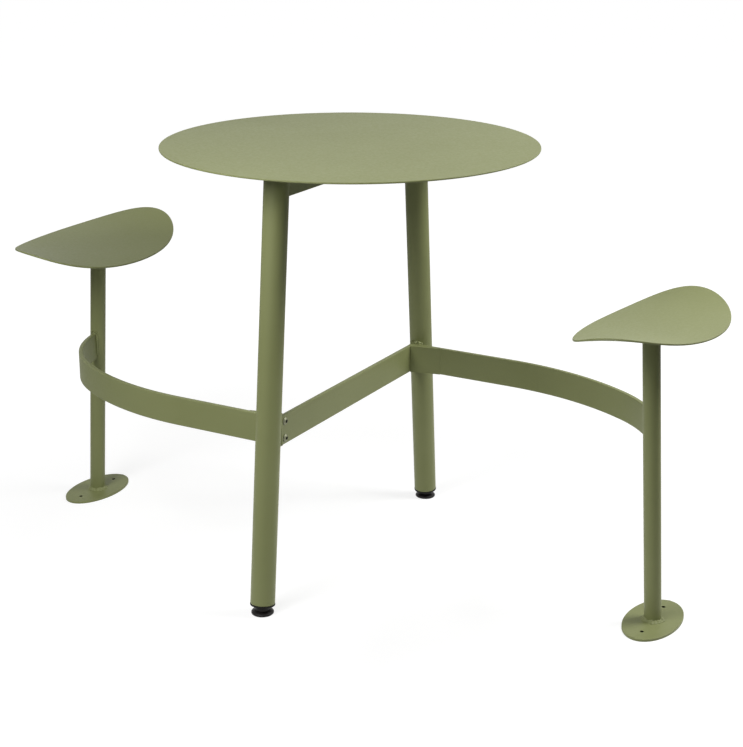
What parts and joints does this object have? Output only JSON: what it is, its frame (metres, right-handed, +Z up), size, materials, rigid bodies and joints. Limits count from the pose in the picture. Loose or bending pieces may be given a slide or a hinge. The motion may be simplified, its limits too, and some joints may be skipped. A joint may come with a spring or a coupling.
{
  "type": "outdoor dining table",
  "caption": "Round garden dining table on two leaning tube legs, with saddle seats on floor-bolted posts joined to it by curved flat-bar arms.",
  "frame": {"origin": "on the floor, on the vertical axis through the middle of the round top", "axes": "+Z up; X runs through the two seat posts, +X to the right-hand seat; Y runs through the two table legs, +Y to the rear leg"},
  "size_m": [1.3126, 0.636, 0.74],
  "materials": {
    "frame_paint": "matte sage green powder coat",
    "zinc_steel": "zinc plated",
    "screw_steel": "dull plated, satin",
    "cap_plastic": "moulded black",
    "pad_plastic": "moulded black"
  },
  "bodies": {
    "frame": {"tabletop": "frame_paint", "top_studs": "zinc_steel", "top_nuts": "zinc_steel", "front_mount_plate": "frame_paint", "rear_mount_plate": "frame_paint", "top_crossbar": "frame_paint", "front_leg": "frame_paint", "rear_leg": "frame_paint", "front_leg_cap": "cap_plastic", "rear_leg_cap": "cap_plastic", "front_leg_insert": "zinc_steel", "rear_leg_insert": "zinc_steel", "lower_crossbar": "frame_paint", "front_corner_wedge": "frame_paint", "rear_corner_wedge": "frame_paint", "crossbar_screws": "screw_steel", "left_arm": "frame_paint", "right_arm": "frame_paint", "left_post": "frame_paint", "right_post": "frame_paint", "left_base_plate": "frame_paint", "right_base_plate": "frame_paint", "left_seat": "frame_paint", "right_seat": "frame_paint"},
    "front_foot": {"front_foot_pad": "pad_plastic"},
    "front_stem": {"front_foot_stem": "zinc_steel"},
    "rear_foot": {"rear_foot_pad": "pad_plastic"},
    "rear_stem": {"rear_foot_stem": "zinc_steel"}
  },
  "joints": [
    {"name": "front_foot_level", "type": "slide", "parent": "frame", "child": "front_foot", "axis": [0.0128, -0.1085, -0.994], "range_m": [0, 0.015]},
    {"name": "front_stem_turn", "type": "hinge", "parent": "front_foot", "child": "front_stem", "pos_m": [-0.00011, -0.29233, 0.00885], "axis": [0.0128, -0.1085, -0.994], "range_deg": [0, 4321]},
    {"name": "rear_foot_level", "type": "slide", "parent": "frame", "child": "rear_foot", "axis": [-0.0128, 0.1085, -0.994], "range_m": [0, 0.015]},
    {"name": "rear_stem_turn", "type": "hinge", "parent": "rear_foot", "child": "rear_stem", "pos_m": [0.00011, 0.29233, 0.00885], "axis": [-0.0128, 0.1085, -0.994], "range_deg": [0, 4321]}
  ],
  "couplings": [
    {"joint": "front_stem_turn", "follows": "front_foot_level", "rad_per_m": 5026.5},
    {"joint": "rear_stem_turn", "follows": "rear_foot_level", "rad_per_m": 5026.5}
  ]
}
